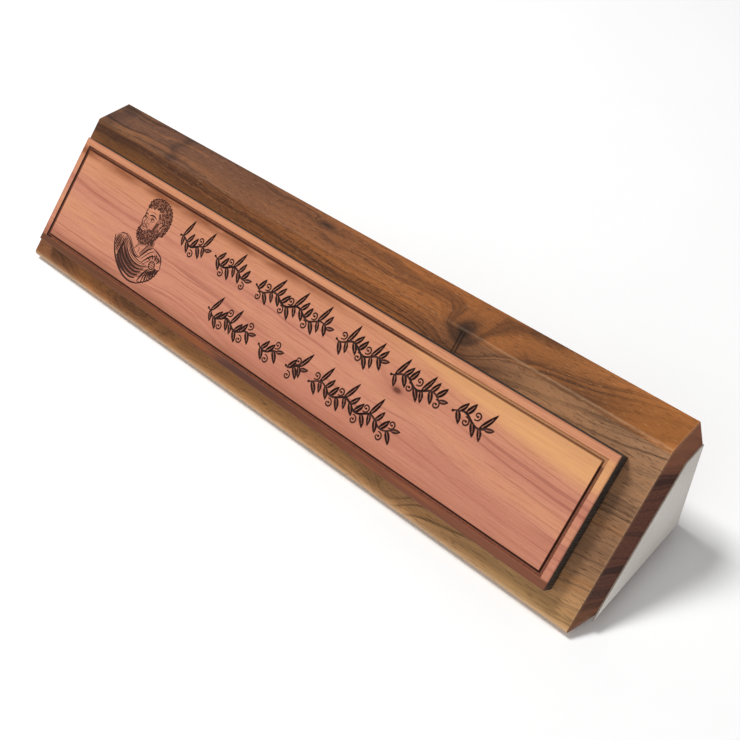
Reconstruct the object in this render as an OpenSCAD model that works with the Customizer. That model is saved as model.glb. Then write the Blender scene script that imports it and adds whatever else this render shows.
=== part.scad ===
// Desk wedge plaque: a walnut block with a sloping face, and a thin cedar
// plate taped to the slope. It stands on four felt pads.
//
// Frame: +X runs along the plaque, to the reader's right. The sloping face
// looks towards -Y and up. Z = 0 is the table, and X = Y = 0 is the middle
// of the footprint.

/* [Walnut block] */
// Length of the block between its two flat ends
block_len = 253.2; // [250:0.1:320]
// Height of the block
block_h = 42; // [42:0.5:60]
// Width of the flat top
top_w = 14; // [8:0.5:30]
// Angle of the sloping face above the table
face_angle = 45; // [42:1:48]
// Chamfer all round each end
end_chamfer = 3.5; // [1:0.1:5]
// Radius of the eased toe, where the slope meets the base
toe_r = 1.5; // [0.5:0.1:2.5]

/* [Cedar plate] */
// Length of the plate
plate_len = 230.6; // [150:0.1:230.6]
// Width of the plate, measured down the slope
plate_w = 41.9; // [34:0.1:41.9]
// Thickness of the plate
plate_t = 6.35; // [3:0.05:6.5]
// Distance from the top edge of the slope to the plate
plate_drop = 7.6; // [6:0.1:8]
// How far the plate sits off the middle, to the left
plate_offset = 1.5; // [0:0.1:4]

/* [Border of the plate] */
// Distance from the plate's edge to the border line
border_inset = 2.4; // [1.5:0.1:6]
// Width of the shallow outer band of the border
band_w = 0.9; // [0.4:0.1:2]
// Depth of the shallow outer band
band_depth = 0.35; // [0.1:0.05:1]
// Width of the deep inner line of the border
line_w = 0.45; // [0.2:0.05:1]
// Depth of the deep inner line
line_depth = 0.9; // [0.4:0.05:2]

/* [Adhesive tape] */
// Width of each strip of double-sided tape
tape_w = 12; // [6:1:12]
// Thickness of the tape
tape_t = 0.2; // [0.1:0.05:0.5]
// Distance from the plate's edges to the tape
tape_margin = 1; // [0.5:0.5:4]

/* [End covers] */
// Thickness of the pale card on each flat end
cover_t = 0.4; // [0.2:0.1:1]

/* [Base pads] */
// Diameter of a felt pad
pad_d = 10; // [6:0.5:12]
// Thickness of a felt pad
pad_t = 1; // [0.5:0.1:2]
// Distance from a pad's centre to the nearer end of the block
pad_end_gap = 16; // [12:1:40]
// Distance from a pad's centre to the back, or to the front of the flat base
pad_side_gap = 9; // [7.5:0.5:10]

/* [Hidden] */

$fn = 64;
// A cutter runs this far past what it cuts
past = 1;

// Section of the block, with Y = 0 at the sharp toe and Z = 0 at its base
block_d = top_w + block_h / tan(face_angle);
slope_len = block_h / sin(face_angle);
toe_setback = toe_r / tan(face_angle / 2);

// The foremost point is the rounded toe, or the plate's lower edge
plate_foot = slope_len - plate_drop - plate_w;
plate_front = plate_foot * cos(face_angle) - (tape_t + plate_t) * sin(face_angle);
front_y = min(toe_setback - toe_r, plate_front);
toe_y = -(front_y + block_d) / 2;

block_end = block_len / 2;
pad_x = block_end - pad_end_gap;
pad_front_y = toe_y + toe_setback + pad_side_gap;
pad_back_y = toe_y + block_d - pad_side_gap;
tape_len = plate_len - 2 * tape_margin;

// Puts a shape drawn in the block's own section at its place over the pads
module on_pads() {
    translate([0, toe_y, pad_t]) children();
}

// Turns a shape so that its X runs along the plaque, its Y runs up the slope
// from the toe, and its Z stands out of the sloping face
module on_slope() {
    on_pads() rotate([face_angle, 0, 0]) children();
}

// Outline of the section, with X as depth and Y as height
module section_outline() {
    difference() {
        polygon([[0, 0], [block_d, 0], [block_d, block_h], [block_d - top_w, block_h]]);
        square_toe();
    }
    translate([toe_setback, toe_r]) circle(r = toe_r);
}

// The sharp corner that the rounded toe takes away
module square_toe() {
    touch = [toe_setback * cos(face_angle), toe_setback * sin(face_angle)];
    polygon([[-past, -past], [toe_setback, -past], [toe_setback, toe_r], touch,
             touch + past * [-sin(face_angle), cos(face_angle)], [-past, past]]);
}

// A strip of the given width whose two ends have a 45 degree chamfer at its
// upper edge, or at both edges
module chamfered_strip(width, both = false) {
    inner = block_end - end_chamfer;
    low = both ? -width + end_chamfer : -width;
    foot = both ? inner : block_end;
    polygon([[-foot, -width], [-block_end, low], [-block_end, -end_chamfer], [-inner, 0],
             [inner, 0], [block_end, -end_chamfer], [block_end, low], [foot, -width]]);
}

module wedge_block() {
    deep = slope_len + block_d;
    color("saddlebrown")
    intersection() {
        on_pads() rotate([90, 0, 90])
            translate([0, 0, -block_end]) linear_extrude(block_len) section_outline();
        // Top and base edges of the ends
        translate([0, block_d, pad_t + block_h]) rotate([90, 0, 0])
            linear_extrude(2 * block_d) chamfered_strip(block_h, both = true);
        // Back edge of the ends
        translate([0, toe_y + block_d, 0])
            linear_extrude(2 * block_h) chamfered_strip(2 * block_d);
        // Front edge of the ends, along the slope
        on_slope() translate([0, -past, 0]) rotate([90, 0, 0]) mirror([0, 0, 1])
            linear_extrude(deep) chamfered_strip(deep);
    }
}

// A square-cornered frame cut into the plate's face, from one inset to another
module border_cut(inset, width, depth) {
    outer = [plate_len - 2 * inset, plate_w - 2 * inset];
    translate([0, plate_w / 2, plate_t - depth]) linear_extrude(depth + past)
        difference() {
            square(outer, center = true);
            square(outer - 2 * [width, width], center = true);
        }
}

module cedar_plate() {
    color("indianred")
    on_slope() translate([-plate_offset, plate_foot, tape_t])
        difference() {
            translate([-plate_len / 2, 0, 0]) cube([plate_len, plate_w, plate_t]);
            border_cut(border_inset, band_w + line_w, band_depth);
            border_cut(border_inset + band_w, line_w, line_depth);
        }
}

// A strip of tape on the slope, with its lower edge this far above the plate's
module tape_strip(rise) {
    color("gainsboro")
    on_slope() translate([-plate_offset - tape_len / 2, plate_foot + rise, 0])
        cube([tape_len, tape_w, tape_t]);
}

module tape_strip_upper() {
    tape_strip(plate_w - tape_margin - tape_w);
}

module tape_strip_lower() {
    tape_strip(tape_margin);
}

// The flat inside the chamfers of one end, covered by card
module end_cover(side) {
    near = end_chamfer / tan(face_angle / 2);
    far = block_d - end_chamfer;
    high = block_h - end_chamfer;
    color("lightgray")
    on_pads() translate([side > 0 ? block_end : -block_end - cover_t, 0, 0])
        rotate([90, 0, 90]) linear_extrude(cover_t)
            polygon([[near, end_chamfer], [far, end_chamfer], [far, high],
                     [near + (high - end_chamfer) / tan(face_angle), high]]);
}

module end_cover_left() {
    end_cover(-1);
}

module end_cover_right() {
    end_cover(1);
}

module base_pad(x, y) {
    color("dimgray") translate([x, y, 0]) cylinder(d = pad_d, h = pad_t);
}

module base_pad_front_left() {
    base_pad(-pad_x, pad_front_y);
}

module base_pad_front_right() {
    base_pad(pad_x, pad_front_y);
}

module base_pad_back_left() {
    base_pad(-pad_x, pad_back_y);
}

module base_pad_back_right() {
    base_pad(pad_x, pad_back_y);
}

wedge_block();
cedar_plate();
tape_strip_upper();
tape_strip_lower();
end_cover_left();
end_cover_right();
base_pad_front_left();
base_pad_front_right();
base_pad_back_left();
base_pad_back_right();
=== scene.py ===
# %% [markdown]
# A desk wedge plaque: a walnut block with a sloping face, a red cedar plate
# engraved by laser, and four felt pads. The CAD model is loaded first and is
# never changed. It says how big each piece is and where it lies, and this
# script only makes the pieces look like wood, card and felt. The scene is in
# metres, so a length in millimetres is multiplied by MM.

# %% Load the frame
import math
import random
from functools import partialmethod

import bmesh
import bpy
import numpy as np
from mathutils import Matrix, Vector, geometry


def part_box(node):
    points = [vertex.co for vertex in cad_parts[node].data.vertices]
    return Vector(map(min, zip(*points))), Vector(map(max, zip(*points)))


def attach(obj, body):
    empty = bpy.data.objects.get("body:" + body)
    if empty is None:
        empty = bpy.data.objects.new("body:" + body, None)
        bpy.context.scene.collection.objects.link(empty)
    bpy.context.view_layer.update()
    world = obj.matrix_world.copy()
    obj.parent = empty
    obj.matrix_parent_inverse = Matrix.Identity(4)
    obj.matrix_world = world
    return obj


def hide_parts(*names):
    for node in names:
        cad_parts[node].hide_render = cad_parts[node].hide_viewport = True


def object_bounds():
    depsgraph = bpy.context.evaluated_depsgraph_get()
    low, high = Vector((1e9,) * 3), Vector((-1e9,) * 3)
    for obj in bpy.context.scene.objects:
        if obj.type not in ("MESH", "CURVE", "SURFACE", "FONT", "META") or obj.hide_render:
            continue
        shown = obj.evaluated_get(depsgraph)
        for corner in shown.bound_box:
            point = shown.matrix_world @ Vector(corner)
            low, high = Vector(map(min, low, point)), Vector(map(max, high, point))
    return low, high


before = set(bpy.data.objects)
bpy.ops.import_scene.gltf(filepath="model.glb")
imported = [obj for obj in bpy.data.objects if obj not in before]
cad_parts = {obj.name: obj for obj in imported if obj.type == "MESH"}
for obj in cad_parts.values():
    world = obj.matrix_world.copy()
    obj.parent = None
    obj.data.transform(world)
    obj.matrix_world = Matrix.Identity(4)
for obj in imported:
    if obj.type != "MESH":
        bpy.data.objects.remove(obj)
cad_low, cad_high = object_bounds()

MM = 0.001
print("CAD box in mm:", [round(side / MM, 1) for side in cad_high - cad_low])


def add_object(name, data):
    """A new object in the scene, made from a mesh, a light or a camera."""
    added = bpy.data.objects.new(name, data)
    bpy.context.scene.collection.objects.link(added)
    return added


# %% [markdown]
# The camera and the room come first, so that every later step can be looked
# at. The camera stands to the reader's right and looks down at 45 degrees.
# It is described by what it looks at, its direction and its distance, which
# are easier to think about than a position and three rotations.

# %% Camera
def place_camera(target, azimuth, elevation, distance, roll, lens):
    """Azimuth 0 looks along +Y, and a positive azimuth steps to the right."""
    a, e = math.radians(azimuth), math.radians(elevation)
    back = Vector((math.sin(a) * math.cos(e), -math.cos(a) * math.cos(e), math.sin(e)))
    data = bpy.data.cameras.new("camera")
    data.lens = lens
    data.clip_start = 0.01
    camera = add_object("camera", data)
    turn = (-back).to_track_quat("-Z", "Y").to_matrix().to_4x4()
    camera.matrix_world = (
        Matrix.Translation(target + back * distance) @ turn
        @ Matrix.Rotation(math.radians(roll), 4, "Z")
    )
    bpy.context.scene.camera = camera
    return camera


camera = place_camera(
    target=Vector((34.9, -8.9, 30.4)) * MM, azimuth=42.8, elevation=44.8,
    distance=312.2 * MM, roll=-0.55, lens=50.4,
)
print("camera at", [round(c / MM) for c in camera.matrix_world.translation], "mm")

# %% [markdown]
# The light is soft. A square window hangs high on the left, so that the grain
# and the engraving get a little relief, and the shadow falls to the right of
# the plaque. A broad faint window stands in front, and the room is pale all
# round. The colours are shown as they are, with no film curve, because wood
# is judged by its exact hue.

# %% Lights and the pale room
bpy.context.scene.view_settings.view_transform = "Standard"


def soft_window(name, place, size, power):
    """A rectangle of light at a place, turned to the middle of the plaque."""
    data = bpy.data.lights.new(name, "AREA")
    data.shape = "RECTANGLE"
    data.size, data.size_y = size
    data.energy = power
    middle = (cad_low + cad_high) / 2
    look = (middle - place).to_track_quat("-Z", "Y").to_matrix().to_4x4()
    add_object(name, data).matrix_world = Matrix.Translation(place) @ look
    print(name, "of", power, "W,", round((middle - place).length, 2), "m away")


soft_window("key window", place=Vector((-0.53, -0.08, 1.36)), size=(0.40, 0.40), power=16.4)
soft_window("fill window", place=Vector((0.34, -1.02, 0.88)), size=(1.2, 1.2), power=4.0)

ROOM_LIGHT = 0.30
room = bpy.data.worlds.new("pale room")
room.use_nodes = True
room.node_tree.nodes["Background"].inputs["Color"].default_value = (1, 1, 1, 1)
room.node_tree.nodes["Background"].inputs["Strength"].default_value = ROOM_LIGHT
bpy.context.scene.world = room

# %% [markdown]
# Each finish below is a small network of nodes. The helpers keep that short:
# each one adds a node, wires its inputs and returns its output, so a finish
# reads like arithmetic. A plain number or a colour is set on the socket.

# %% Helpers for building a finish
def paint(red, green, blue):
    """A colour named by its 0 to 255 screen values, as the shader's light values."""
    return tuple(((c / 255 + 0.055) / 1.055) ** 2.4 if c > 10 else c / 3295 for c in (red, green, blue))


class Finish:
    """A material in the making. Its methods add nodes and return sockets."""

    def __init__(self, name):
        self.material = bpy.data.materials.new(name)
        self.material.use_nodes = True
        self.tree = self.material.node_tree
        self.shader = self.tree.nodes["Principled BSDF"]
        coordinates = self.tree.nodes.new("ShaderNodeTexCoord")
        self.place = self.vector("SCALE", coordinates.outputs["Object"], scale=1 / MM)

    def wire(self, socket, value):
        if isinstance(value, bpy.types.NodeSocket):
            self.tree.links.new(value, socket)
        elif socket.type == "RGBA":
            socket.default_value = (*value[:3], 1)
        else:
            socket.default_value = value

    def vector(self, operation, a, b=None, scale=None):
        node = self.tree.nodes.new("ShaderNodeVectorMath")
        node.operation = operation
        self.wire(node.inputs[0], a)
        if b is not None:
            self.wire(node.inputs[1], b)
        if scale is not None:
            self.wire(node.inputs["Scale"], scale)
        return node.outputs["Value" if operation in ("DOT_PRODUCT", "LENGTH") else "Vector"]

    def math(self, operation, *values, clamp=False):
        node = self.tree.nodes.new("ShaderNodeMath")
        node.operation = operation
        node.use_clamp = clamp
        for socket, value in zip(node.inputs, values):
            self.wire(socket, value)
        return node.outputs[0]

    plus = partialmethod(math, "ADD")
    minus = partialmethod(math, "SUBTRACT")
    times = partialmethod(math, "MULTIPLY")
    over = partialmethod(math, "DIVIDE")
    least = partialmethod(math, "MINIMUM")
    most = partialmethod(math, "MAXIMUM")
    size_of = partialmethod(math, "ABSOLUTE")

    def split(self, vector):
        node = self.tree.nodes.new("ShaderNodeSeparateXYZ")
        self.wire(node.inputs[0], vector)
        return node.outputs[0], node.outputs[1], node.outputs[2]

    def join(self, x, y, z):
        node = self.tree.nodes.new("ShaderNodeCombineXYZ")
        for socket, value in zip(node.inputs, (x, y, z)):
            self.wire(socket, value)
        return node.outputs[0]

    def away_from(self, line):
        """Distance from a line that runs along the board, given by its Y and Z."""
        x, y, z = self.split(self.place)
        return self.vector("LENGTH", self.join(0.0, self.minus(y, line[0]), self.minus(z, line[1])))

    def facing_along(self):
        """How squarely the surface faces along the board, from 0 to 1."""
        normal = self.tree.nodes.new("ShaderNodeNewGeometry").outputs["True Normal"]
        return self.size_of(self.split(normal)[0])

    def noise(self, place, stretch=(1, 1, 1), detail=3, roughness=0.5, warp=0, seed=0):
        """Soft noise from 0 to 1, with so many bumps per millimetre each way."""
        node = self.tree.nodes.new("ShaderNodeTexNoise")
        moved = self.vector("MULTIPLY_ADD", place, stretch)
        self.wire(moved.node.inputs[2], (seed * 7.3, seed * 3.1, seed * 5.7))
        self.wire(node.inputs["Vector"], moved)
        self.wire(node.inputs["Scale"], 1.0)
        self.wire(node.inputs["Detail"], detail)
        self.wire(node.inputs["Roughness"], roughness)
        self.wire(node.inputs["Distortion"], warp)
        return node.outputs["Fac"]

    def step(self, value, low, high, to_low=0.0, to_high=1.0):
        """Smooth change from one value to another as the input goes low to high."""
        node = self.tree.nodes.new("ShaderNodeMapRange")
        node.interpolation_type = "SMOOTHSTEP"
        for socket, v in zip(node.inputs, (value, low, high, to_low, to_high)):
            self.wire(socket, v)
        return node.outputs[0]

    def hill(self, x, y, centre, reach):
        """A round hill, 1 at its centre, that fades over the reach each way."""
        dx = self.over(self.minus(x, centre[0]), reach[0])
        dy = self.over(self.minus(y, centre[1]), reach[1])
        square = self.plus(self.times(dx, dx), self.times(dy, dy))
        return self.math("POWER", math.e, self.times(square, -1.0))

    def ramp(self, value, *stops):
        """Colour by value. Each stop is a position and three screen values."""
        node = self.tree.nodes.new("ShaderNodeValToRGB")
        points = node.color_ramp.elements
        while len(points) < len(stops):
            points.new(0.5)
        for point, (position, *screen) in zip(points, stops):
            point.position = position
            point.color = (*paint(*screen), 1)
        self.wire(node.inputs[0], value)
        return node.outputs["Color"]

    def mix(self, share, a, b):
        node = self.tree.nodes.new("ShaderNodeMix")
        node.data_type = "RGBA"
        self.wire(node.inputs["Factor"], share)
        self.wire(node.inputs["A"], a)
        self.wire(node.inputs["B"], b)
        return node.outputs["Result"]

    def coat(self, colour, share, *screen):
        """The colour under a thin coat of another one, given by its screen values."""
        return self.mix(share, colour, paint(*screen))

    def coats(self, colour, *rows):
        """Coats that come in as a value goes from low to high: each has the value,
        low, high, its full strength and its screen values."""
        for value, low, high, strength, *screen in rows:
            colour = self.coat(colour, self.step(value, low, high, 0.0, strength), *screen)
        return colour

    def surface(self, colour, roughness, relief=None, tall=0.0, gloss=0.5, sheen=0.0):
        """Wires colour and roughness, and a relief so many millimetres tall."""
        self.wire(self.shader.inputs["Base Color"], colour)
        self.wire(self.shader.inputs["Roughness"], roughness)
        if relief is not None:
            node = self.tree.nodes.new("ShaderNodeBump")
            self.wire(node.inputs["Height"], relief)
            node.inputs["Distance"].default_value = tall * MM
            self.wire(self.shader.inputs["Normal"], node.outputs["Normal"])
        self.shader.inputs["Specular IOR Level"].default_value = gloss
        self.shader.inputs["Sheen Weight"].default_value = sheen
        return self.material


print("a screen grey of 128 is", round(paint(128, 128, 128)[0], 3), "in light")

# %% [markdown]
# The floor is a plain pale sheet, and only there to catch the shadow.

# %% Floor
FLOOR_REACH = 4.0   # metres each way
mesh = bpy.data.meshes.new("floor")
floor_corners = [(-1, -1), (1, -1), (1, 1), (-1, 1)]
mesh.from_pydata([(x * FLOOR_REACH, y * FLOOR_REACH, 0) for x, y in floor_corners], [], [(0, 1, 2, 3)])
floor = add_object("floor", mesh)
paper = Finish("pale floor")
clouds = paper.noise(paper.place, (0.02, 0.02, 0.02))
mesh.materials.append(paper.surface(paper.mix(clouds, (0.97,) * 3, (0.94,) * 3), 0.9))
print("floor", 2 * FLOOR_REACH, "m wide")

# %% [markdown]
# The walnut block. Its section is a trapezium with a rounded toe, and each end
# has a 45 degree chamfer. All its corners point outwards, so the simplest way
# to make it is to place the corners and stretch a hull over them. The sizes
# are read from the CAD box of the block, the plate and the card on the end.

# %% Sizes of the block, read from the frame
block_low, block_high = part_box("wedge_block")
plate_low, plate_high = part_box("cedar_plate")
card_low, card_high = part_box("end_cover_right")
base_z = block_low.z
top_z = block_high.z
back_y = block_high.y
block_end = block_high.x
chamfer = block_high.z - card_high.z
TOE_RADIUS = 1.5 * MM
HALF_SLOPE = math.radians(45 / 2)
# The slope is at 45 degrees, so the rounded toe sits a fixed share of its radius in
toe_y = block_low.y - TOE_RADIUS / math.tan(HALF_SLOPE) + TOE_RADIUS
brow_y = toe_y + (top_z - base_z)
print("chamfer", round(chamfer / MM, 2), "mm, height", round((top_z - base_z) / MM, 2), "mm")


# %% The block's mesh
SAME_PLANE = 0.01    # radians


def section(inset):
    """Corners of the section, moved in by the inset, from the toe and round."""
    near = toe_y + inset / math.tan(HALF_SLOPE)
    brow = brow_y + inset * math.tan(HALF_SLOPE)
    high = top_z - inset
    back = back_y - inset
    return [(near, base_z + inset), (brow, high), (back, high), (back, base_z + inset)]


def toe_arc(inset, steps=10):
    """Points round the toe, from the base up to the slope."""
    centre = (toe_y + (inset + TOE_RADIUS) / math.tan(HALF_SLOPE), base_z + inset + TOE_RADIUS)
    turn = [math.radians(270 - 135 * i / steps) for i in range(steps + 1)]
    return [(centre[0] + TOE_RADIUS * math.cos(t), centre[1] + TOE_RADIUS * math.sin(t)) for t in turn]


def mesh_from(shape, name):
    """Turns a finished bmesh into a mesh and lets go of it."""
    mesh = bpy.data.meshes.new(name)
    shape.to_mesh(mesh)
    shape.free()
    return mesh


def hull_of(name, points):
    """A solid stretched over its corners. Triangles in one plane melt into one face."""
    shape = bmesh.new()
    for point in points:
        shape.verts.new(point)
    bmesh.ops.convex_hull(shape, input=shape.verts)
    loose = [v for v in shape.verts if not v.link_faces]
    bmesh.ops.delete(shape, geom=loose, context="VERTS")
    bmesh.ops.dissolve_limit(shape, angle_limit=SAME_PLANE, verts=shape.verts, edges=shape.edges)
    return add_object(name, mesh_from(shape, name))


corners = []
for side in (-1, 1):
    corners += [(side * block_end, y, z) for y, z in section(chamfer)[1:] + toe_arc(chamfer)]
    corners += [(side * (block_end - chamfer), y, z) for y, z in section(0)[1:] + toe_arc(0)]
block = hull_of("walnut_block", corners)
print("block corners:", len(block.data.vertices))

# %% Its crisp edges, rounded a little as sandpaper does
bevel = block.modifiers.new("eased edges", "BEVEL")
bevel.width = 0.35 * MM
bevel.segments = 3
bevel.limit_method = "ANGLE"
bevel.angle_limit = math.radians(30)
bevel.harden_normals = True
block.data.shade_smooth()
print("edges eased by", round(bevel.width / MM, 2), "mm")

# %% [markdown]
# Walnut. A tree is a bundle of rings round a pith, so the colour is worked out
# from the distance to a pith that lies outside the board, below and behind.
# The same rings then run as long lines down the faces and as bands across the
# ends, with no seam at an edge. A branch once ran through the board near its
# right end: it pushes the rings aside and leaves a dark knot. Slow noise bends
# the rings, and fine noise stretched along the board makes the pores.

# %% Walnut: where things lie in the log
PITH = (-30.0, -100.0)     # Y and Z in mm
BROW = (brow_y / MM, top_z / MM)
BRANCH_X = 54.0            # where the branch ran through
EYE = (-13.0, 22.5)        # a small eye in the top face, X and Y
print("pith", [round(p - q, 1) for p, q in zip(PITH, BROW)], "mm from the brow")

# %% Walnut finish
def walnut():
    f = Finish("oiled walnut")
    x, y, z = f.split(f.place)
    right_of = f.step(x, BRANCH_X - 6, BRANCH_X + 40)
    from_brow = f.away_from(BROW)
    branch = f.hill(x, from_brow, (BRANCH_X, 0.0), (10.0, 11.0))
    branch = f.plus(branch, f.hill(x, z, (BRANCH_X + 3, 2.0), (8.0, 9.0)))
    core = f.hill(x, from_brow, (BRANCH_X - 1, 0.0), (5.0, 5.5))
    eye = f.hill(x, y, EYE, (5.0, 1.6))
    slow = f.noise(f.place, (0.006, 0.022, 0.022), detail=2, seed=1)
    swirl = f.noise(f.place, (0.022, 0.07, 0.07), detail=3, warp=0.5, seed=2)
    burl = f.hill(x, z, (-68.0, 4.0), (26.0, 12.0))

    # The ring count at a point: its distance from the pith, bent and pushed
    out = f.away_from(PITH)
    for share, push in ((slow, 16.0), (swirl, 4.5), (branch, 5.0), (eye, 4.0), (core, 5.0)):
        out = f.plus(out, f.times(share, push))
    out = f.plus(out, f.times(f.times(burl, swirl), 26.0))
    climb = f.times(right_of, f.times(f.minus(BRANCH_X, x), 0.085))
    out = f.plus(out, climb)

    # Broad bands, then the dark late wood of each ring, then hair lines
    bands = f.noise(f.join(x, out, 0.0), (0.004, 0.16, 1), detail=3, seed=3)
    lines = f.noise(f.join(x, out, 0.0), (0.006, 0.9, 1), detail=4, roughness=0.65, seed=4)
    fibres = f.noise(f.place, (0.10, 2.6, 2.6), detail=5, roughness=0.7, seed=5)
    pores = f.step(f.noise(f.place, (0.30, 3.6, 3.6), detail=3, roughness=0.55, seed=6), 0.60, 0.69)
    glints = f.step(f.noise(f.place, (0.35, 3.0, 3.0), detail=3, roughness=0.6, seed=7), 0.58, 0.72)

    # The board runs from dark heartwood on the left to paler wood past the branch
    end_x = block_end / MM
    along = f.step(x, -end_x, end_x)
    left_to_right = f.over(f.plus(x, end_x), 2 * end_x)
    heart = f.ramp(
        left_to_right,
        (0.00, 90, 57, 39), (0.20, 96, 58, 37), (0.42, 142, 86, 46),
        (0.62, 170, 104, 54), (0.70, 134, 86, 54), (0.82, 156, 110, 76),
        (1.00, 164, 122, 88),
    )
    low = f.times(f.step(z, 19, 4), f.step(along, 0.0, 1.0, 0.5, 0.9))
    colour = f.mix(low, heart, f.mix(along, paint(176, 112, 68), paint(204, 154, 104)))
    top = f.step(z, top_z / MM - 1.2, top_z / MM - 0.1)
    not_top = f.minus(1.0, top)
    # The top face has colours of its own along the board: the wood's tone, and at the left end a grey-brown
    # that is painted sheen
    top_tones_and_painted_sheen = f.ramp(
        left_to_right,
        (0.00, 110, 76, 60), (0.30, 118, 78, 56), (0.50, 146, 90, 52),
        (0.75, 164, 98, 44), (1.00, 176, 108, 52),
    )
    colour = f.mix(f.times(top, 0.75), colour, top_tones_and_painted_sheen)
    fade = f.step(f.times(right_of, not_top), 0.0, 1.0, 1.0, 0.45)
    dark_band = f.times(f.step(bands, 0.48, 0.68, 0.0, 0.72), fade)
    colour = f.coat(colour, dark_band, 56, 33, 22)
    colour = f.coats(
        colour, (bands, 0.46, 0.28, 0.40, 190, 122, 62), (lines, 0.51, 0.68, 0.72, 50, 29, 19),
        (lines, 0.44, 0.28, 0.35, 188, 120, 62), (fibres, 0.42, 0.74, 0.45, 70, 42, 28),
    )
    colour = f.coat(colour, f.times(pores, 0.55), 48, 29, 20)
    colour = f.coat(colour, f.times(glints, f.step(right_of, 0.0, 1.0, 0.28, 0.42)), 214, 162, 112)

    # Tones that wander over the sloping front: a middle and a reach in X and Z, then how strong
    for middle, reach, strength, tint in (
        ((122.0, 19.0), (9.0, 12.0), 0.30, paint(84, 58, 40)),
        ((52.0, 4.5), (10.0, 4.0), 0.25, paint(96, 62, 40)),
        ((106.0, 3.5), (20.0, 4.0), 0.55, paint(210, 164, 106)),
        ((86.0, 40.0), (15.0, 4.0), 0.38, paint(200, 144, 98)),
        ((-124.0, 4.5), (13.0, 5.0), 0.36, paint(96, 58, 36)),
        ((-114.0, 40.5), (26.0, 4.0), 0.48, paint(54, 31, 18)),
        ((-92.0, 4.0), (13.0, 5.0), 0.42, paint(196, 124, 66)),
        ((10.0, 3.5), (52.0, 4.5), 0.34, paint(206, 150, 90)),
    ):
        patch = f.times(f.hill(x, z, middle, reach), not_top)
        colour = f.mix(f.times(patch, strength), colour, tint)
    colour = f.coat(colour, f.times(top, f.step(x, 92, 116, 0.0, 0.42)), 196, 120, 56)
    darker_top = f.times(top, f.hill(x, 0.0, (80.0, 0.0), (13.0, 1.0)))
    colour = f.coat(colour, f.times(darker_top, 0.28), 72, 42, 24)

    # The knot, the eye, and the crooked dark figure towards the left end
    shade = f.plus(f.times(core, 0.95), f.times(eye, 0.9), clamp=True)
    colour = f.coat(colour, shade, 44, 29, 22)
    bent = f.plus(x, f.times(swirl, 16.0))
    slit = f.minus(x, f.plus(BRANCH_X - 1.6, f.times(swirl, 1.2)))
    lips = f.hill(f.size_of(slit), 0.0, (0.55, 0.0), (0.28, 1.0))
    scar = f.times(lips, f.times(f.step(from_brow, 9.5, 6.5), not_top))
    colour = f.coat(colour, f.times(scar, 0.85), 34, 24, 19)
    crook = f.hill(bent, 0.0, (-78.0, 0.0), (2.6, 1.0))
    crook = f.plus(crook, f.hill(bent, 0.0, (-111.0, 0.0), (5.0, 1.0)), clamp=True)
    colour = f.coat(colour, f.times(f.times(crook, top), 0.55), 52, 36, 30)

    # Painted highlights: the toe, the brow and the edge of each chamfer are painted paler, where light
    # catches the rounded edges
    toe = f.step(z, 4.2, 2.0)
    colour = f.coat(colour, f.times(toe, 0.7), 220, 182, 142)
    from_chamfer = f.size_of(f.minus(f.size_of(x), (block_end - chamfer) / MM))
    painted_edge_highlight = f.most(f.step(from_brow, 0.75, 0.1), f.step(from_chamfer, 0.5, 0.15, 0.0, 0.5))
    painted_edge_highlight = f.times(painted_edge_highlight, f.step(x, 40, 80, 0.03, 0.26))

    # End grain drinks more oil, so it is darker and redder
    across = f.step(f.facing_along(), 0.35, 0.6)
    end_lines = f.noise(f.join(0.0, out, 0.0), (1, 0.5, 1), detail=3, seed=8)
    end_grain_with_painted_light = f.ramp(end_lines, (0.38, 66, 40, 34), (0.5, 104, 63, 49), (0.62, 80, 50, 40))
    vessels = f.step(f.noise(f.place, (0.6, 2.4, 2.4), detail=2, seed=9), 0.58, 0.66)
    end_grain_with_painted_light = f.coat(end_grain_with_painted_light, f.times(vessels, 0.5), 48, 27, 20)
    # Painted light: the end grain is painted paler near the top, where the chamfer faces up to the light,
    # and paler towards the foot
    end_grain_with_painted_light = f.coat(end_grain_with_painted_light, f.times(f.step(z, 36, 41), 0.6), 150, 96, 68)
    end_grain_with_painted_light = f.coat(end_grain_with_painted_light, f.times(f.step(z, 11, 5), 0.55), 142, 92, 58)
    colour = f.mix(across, colour, end_grain_with_painted_light)
    # The painted highlights on the brow and the chamfer edges go over the end grain too
    colour = f.coat(colour, painted_edge_highlight, 206, 164, 126)

    rough = f.plus(f.step(fibres, 0.2, 0.8, 0.40, 0.52), f.times(pores, 0.2))
    relief = f.minus(f.times(fibres, 0.6), f.plus(pores, f.times(scar, 2.5)))
    return f.surface(colour, rough, relief, 0.09, gloss=0.2)


block.data.materials.append(walnut())
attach(block, "root")
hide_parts("wedge_block")
print("block made, in", block.data.materials[0].name)

# %% [markdown]
# The cedar plate is quarter-inch board, cut out and engraved by a laser. The
# face carries a stepped border line, the bust of a bearded man in a cloak, and
# two rows of leafy sprigs. A laser takes wood away, so the cuts are modelled
# as real shapes and not as paint. The drawing is worked out flat, in
# millimetres, with X from the plate's left end and Y up from its lower edge.
# Only the last step stands it on the slope.

# %% The plate's own measures
PLATE_THICKNESS = 6.35
DIAGONAL = math.sqrt(0.5)
UP_SLOPE = Vector((0, DIAGONAL, DIAGONAL))
OFF_SLOPE = Vector((0, -DIAGONAL, DIAGONAL))
plate_length = (plate_high.x - plate_low.x) / MM
plate_width = (plate_high.z - plate_low.z) / MM / DIAGONAL - PLATE_THICKNESS
# The lower edge of the face: level with it, the back edge lies lower and further back
plate_corner = Vector((plate_low.x, plate_low.y, plate_low.z + PLATE_THICKNESS * DIAGONAL * MM)) / MM
print("plate", round(plate_length, 1), "by", round(plate_width, 1), "mm")


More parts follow.
